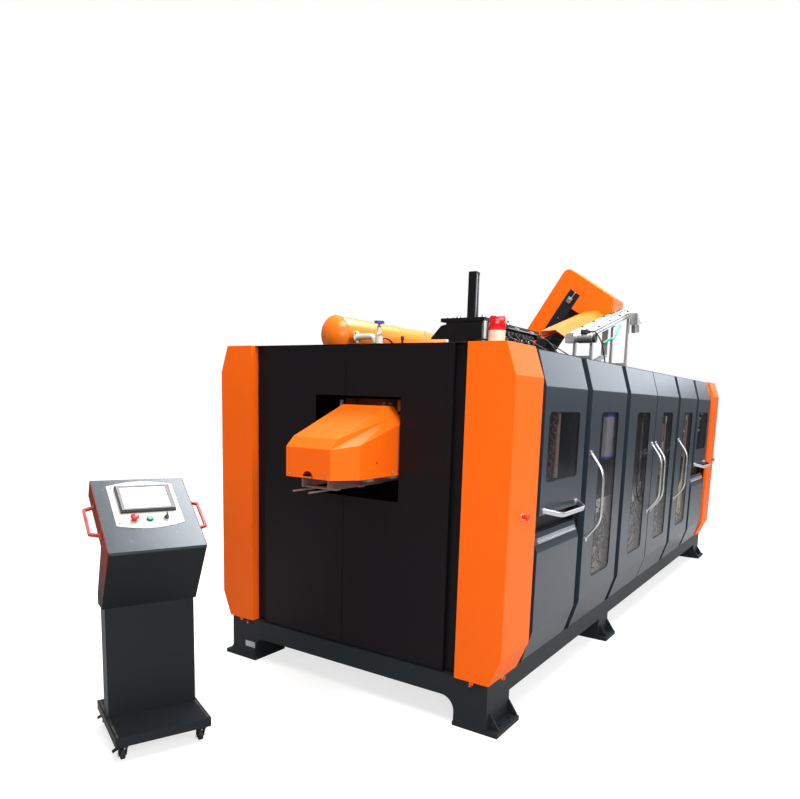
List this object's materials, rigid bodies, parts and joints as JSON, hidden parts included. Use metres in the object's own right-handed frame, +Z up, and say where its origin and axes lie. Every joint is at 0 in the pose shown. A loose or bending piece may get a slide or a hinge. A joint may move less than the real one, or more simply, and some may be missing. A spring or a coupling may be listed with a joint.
{
  "type": "stretch blow moulding machine",
  "caption": "Long enclosed linear stretch blow moulding machine with folded doors, windows, corner covers, discharge hood, roof tank, preform elevator and a separate wheeled operator station.",
  "frame": {"origin": "on the floor at the centre of the machine's four corner feet", "axes": "+X along the machine away from its discharge end, +Y away from the door side, +Z up"},
  "size_m": [7.0808, 2.2113, 3.0498],
  "materials": {
    "orange_paint": "semi-gloss textured powder coat",
    "dark_sheet": "satin powder coat",
    "door_grey": "fine textured powder coat",
    "base_grey": "satin paint",
    "steel": "machined",
    "aluminium": "anodised",
    "tank_yellow": "gloss enamel",
    "window": "tinted polycarbonate",
    "red_plastic": "moulded",
    "lens_red": "translucent moulded",
    "cream_plastic": "moulded",
    "blue_plastic": "moulded",
    "black_steel": "black oxide",
    "green_plastic": "moulded",
    "screen_plastic": "moulded bezel round a glass screen",
    "desk_grey": "metallic powder coat",
    "wheel_rubber": "moulded",
    "belt_rubber": "cleated belt",
    "handle_silver": "satin anodised"
  },
  "bodies": {
    "machine": {"base_frame": "base_grey", "cabinet_frame": "dark_sheet", "corner_covers": "orange_paint", "end_panels": "dark_sheet", "shell_panels": "dark_sheet", "discharge_hood": "orange_paint", "transport_rail": "steel", "oven_bank": "aluminium", "clamp_frame": "base_grey", "station_tower": "black_steel", "air_tank": "tank_yellow", "lamp_base": "cream_plastic", "lamp_lens": "lens_red", "elevator_housing": "orange_paint", "elevator_belt": "belt_rubber", "unscrambler_frame": "aluminium", "console_stand": "dark_sheet", "console_head": "desk_grey", "console_sides": "orange_paint", "touch_panel": "screen_plastic"},
    "flap_1": {"door_1_flap": "door_grey", "window_1": "window", "handle_1": "handle_silver"},
    "panel_1": {"door_1_panel": "door_grey"},
    "door_2": {"door_2": "door_grey", "window_2": "window", "handle_2": "handle_silver"},
    "door_3": {"door_3": "door_grey", "window_3": "window", "handle_3": "handle_silver"},
    "door_4": {"door_4": "door_grey", "window_4": "window", "handle_4": "handle_silver"},
    "door_5": {"door_5": "door_grey", "window_5": "window", "handle_5": "handle_silver"},
    "flap_6": {"door_6_flap": "door_grey", "window_6": "window", "handle_6": "handle_silver"},
    "panel_6": {"door_6_panel": "door_grey"},
    "stop_near": {"stop_near": "red_plastic"},
    "stop_far": {"stop_far": "red_plastic"},
    "console_stop": {"console_stop": "red_plastic"},
    "start_button": {"start_button": "green_plastic"},
    "key_switch": {"key_switch": "black_steel"},
    "handwheel": {"tank_handwheel": "blue_plastic"},
    "drive_wheel": {"drive_wheel": "steel"},
    "mould_left": {"mould_left": "steel"},
    "mould_right": {"mould_right": "steel"},
    "stretch_bridge": {"stretch_bridge": "steel"},
    "roller_left": {"roller_left": "steel"},
    "roller_right": {"roller_right": "steel"},
    "caster_1": {"caster_1": "black_steel"},
    "wheel_1": {"wheel_1": "wheel_rubber"},
    "caster_2": {"caster_2": "black_steel"},
    "wheel_2": {"wheel_2": "wheel_rubber"},
    "caster_3": {"caster_3": "black_steel"},
    "wheel_3": {"wheel_3": "wheel_rubber"},
    "caster_4": {"caster_4": "black_steel"},
    "wheel_4": {"wheel_4": "wheel_rubber"}
  },
  "joints": [
    {"name": "door_2_swing", "type": "hinge", "parent": "machine", "child": "door_2", "pos_m": [-0.9, -1.035, 1.19], "axis": [0, 0, 1], "range_deg": [0, 80]},
    {"name": "door_3_swing", "type": "hinge", "parent": "machine", "child": "door_3", "pos_m": [-0.8, -1.035, 1.19], "axis": [0, 0, -1], "range_deg": [0, 80]},
    {"name": "door_4_swing", "type": "hinge", "parent": "machine", "child": "door_4", "pos_m": [0.8, -1.035, 1.19], "axis": [0, 0, 1], "range_deg": [0, 105]},
    {"name": "door_5_swing", "type": "hinge", "parent": "machine", "child": "door_5", "pos_m": [1.675, -1.035, 1.19], "axis": [0, 0, 1], "range_deg": [0, 85]},
    {"name": "flap_1_lift", "type": "hinge", "parent": "machine", "child": "flap_1", "pos_m": [-2.1125, -0.975, 2.085], "axis": [-1, 0, 0], "range_deg": [0, 75]},
    {"name": "panel_1_fold", "type": "hinge", "parent": "machine", "child": "panel_1", "pos_m": [-2.1125, -0.985, 0.29], "axis": [1, 0, 0], "range_deg": [0, 60]},
    {"name": "flap_6_lift", "type": "hinge", "parent": "machine", "child": "flap_6", "pos_m": [2.1125, -0.975, 2.085], "axis": [-1, 0, 0], "range_deg": [0, 75]},
    {"name": "panel_6_fold", "type": "hinge", "parent": "machine", "child": "panel_6", "pos_m": [2.1125, -0.985, 0.29], "axis": [1, 0, 0], "range_deg": [0, 60]},
    {"name": "stop_near_push", "type": "slide", "parent": "machine", "child": "stop_near", "axis": [0, 1, 0], "range_m": [0, 0.004], "stiffness_N_per_m": 400},
    {"name": "stop_far_push", "type": "slide", "parent": "machine", "child": "stop_far", "axis": [0, 1, 0], "range_m": [0, 0.004], "stiffness_N_per_m": 400},
    {"name": "console_stop_push", "type": "slide", "parent": "machine", "child": "console_stop", "axis": [0.209, 0.4926, -0.8448], "range_m": [0, 0.004], "stiffness_N_per_m": 400},
    {"name": "start_push", "type": "slide", "parent": "machine", "child": "start_button", "axis": [0.209, 0.4926, -0.8448], "range_m": [0, 0.004], "stiffness_N_per_m": 400},
    {"name": "key_turn", "type": "hinge", "parent": "machine", "child": "key_switch", "pos_m": [-3.83825, 0.38178, 1.16097], "axis": [-0.209, -0.4926, 0.8448], "range_deg": [-45, 45]},
    {"name": "handwheel_turn", "type": "hinge", "parent": "machine", "child": "handwheel", "pos_m": [-2.02, 0.415, 2.3], "axis": [0, 0, 1], "continuous": true},
    {"name": "drive_spin", "type": "hinge", "parent": "machine", "child": "drive_wheel", "pos_m": [2.17, -0.105, 1.27], "axis": [0, 0, 1], "continuous": true},
    {"name": "mould_left_close", "type": "slide", "parent": "machine", "child": "mould_left", "axis": [0, -1, 0], "range_m": [0, 0.1095]},
    {"name": "mould_right_close", "type": "slide", "parent": "machine", "child": "mould_right", "axis": [0, 1, 0], "range_m": [0, 0.1095]},
    {"name": "stretch_down", "type": "slide", "parent": "machine", "child": "stretch_bridge", "axis": [0, 0, -1], "range_m": [0, 0.26]},
    {"name": "roller_left_spin", "type": "hinge", "parent": "machine", "child": "roller_left", "pos_m": [-0.14578, -0.53, 2.48079], "axis": [0.9646, 0, 0.2639], "continuous": true},
    {"name": "roller_right_spin", "type": "hinge", "parent": "machine", "child": "roller_right", "pos_m": [-0.14578, -0.59, 2.48079], "axis": [0.9646, 0, 0.2639], "continuous": true},
    {"name": "caster_1_swivel", "type": "hinge", "parent": "machine", "child": "caster_1", "pos_m": [-4.1464, 0.3442, 0.085], "axis": [0, 0, 1], "continuous": true},
    {"name": "wheel_1_roll", "type": "hinge", "parent": "caster_1", "child": "wheel_1", "pos_m": [-4.13937, 0.36077, 0.025], "axis": [0.9206, -0.3906, 0], "continuous": true},
    {"name": "caster_2_swivel", "type": "hinge", "parent": "machine", "child": "caster_2", "pos_m": [-3.7975, 0.19618, 0.085], "axis": [0, 0, 1], "continuous": true},
    {"name": "wheel_2_roll", "type": "hinge", "parent": "caster_2", "child": "wheel_2", "pos_m": [-3.79047, 0.21275, 0.025], "axis": [0.9206, -0.3906, 0], "continuous": true},
    {"name": "caster_3_swivel", "type": "hinge", "parent": "machine", "child": "caster_3", "pos_m": [-3.98627, 0.72164, 0.085], "axis": [0, 0, 1], "continuous": true},
    {"name": "wheel_3_roll", "type": "hinge", "parent": "caster_3", "child": "wheel_3", "pos_m": [-3.97924, 0.73821, 0.025], "axis": [0.9206, -0.3906, 0], "continuous": true},
    {"name": "caster_4_swivel", "type": "hinge", "parent": "machine", "child": "caster_4", "pos_m": [-3.63737, 0.57361, 0.085], "axis": [0, 0, 1], "continuous": true},
    {"name": "wheel_4_roll", "type": "hinge", "parent": "caster_4", "child": "wheel_4", "pos_m": [-3.63034, 0.59018, 0.025], "axis": [0.9206, -0.3906, 0], "continuous": true}
  ],
  "couplings": [
    {"joint": "mould_right_close", "follows": "mould_left_close", "ratio": 1},
    {"joint": "roller_right_spin", "follows": "roller_left_spin", "ratio": -1}
  ]
}
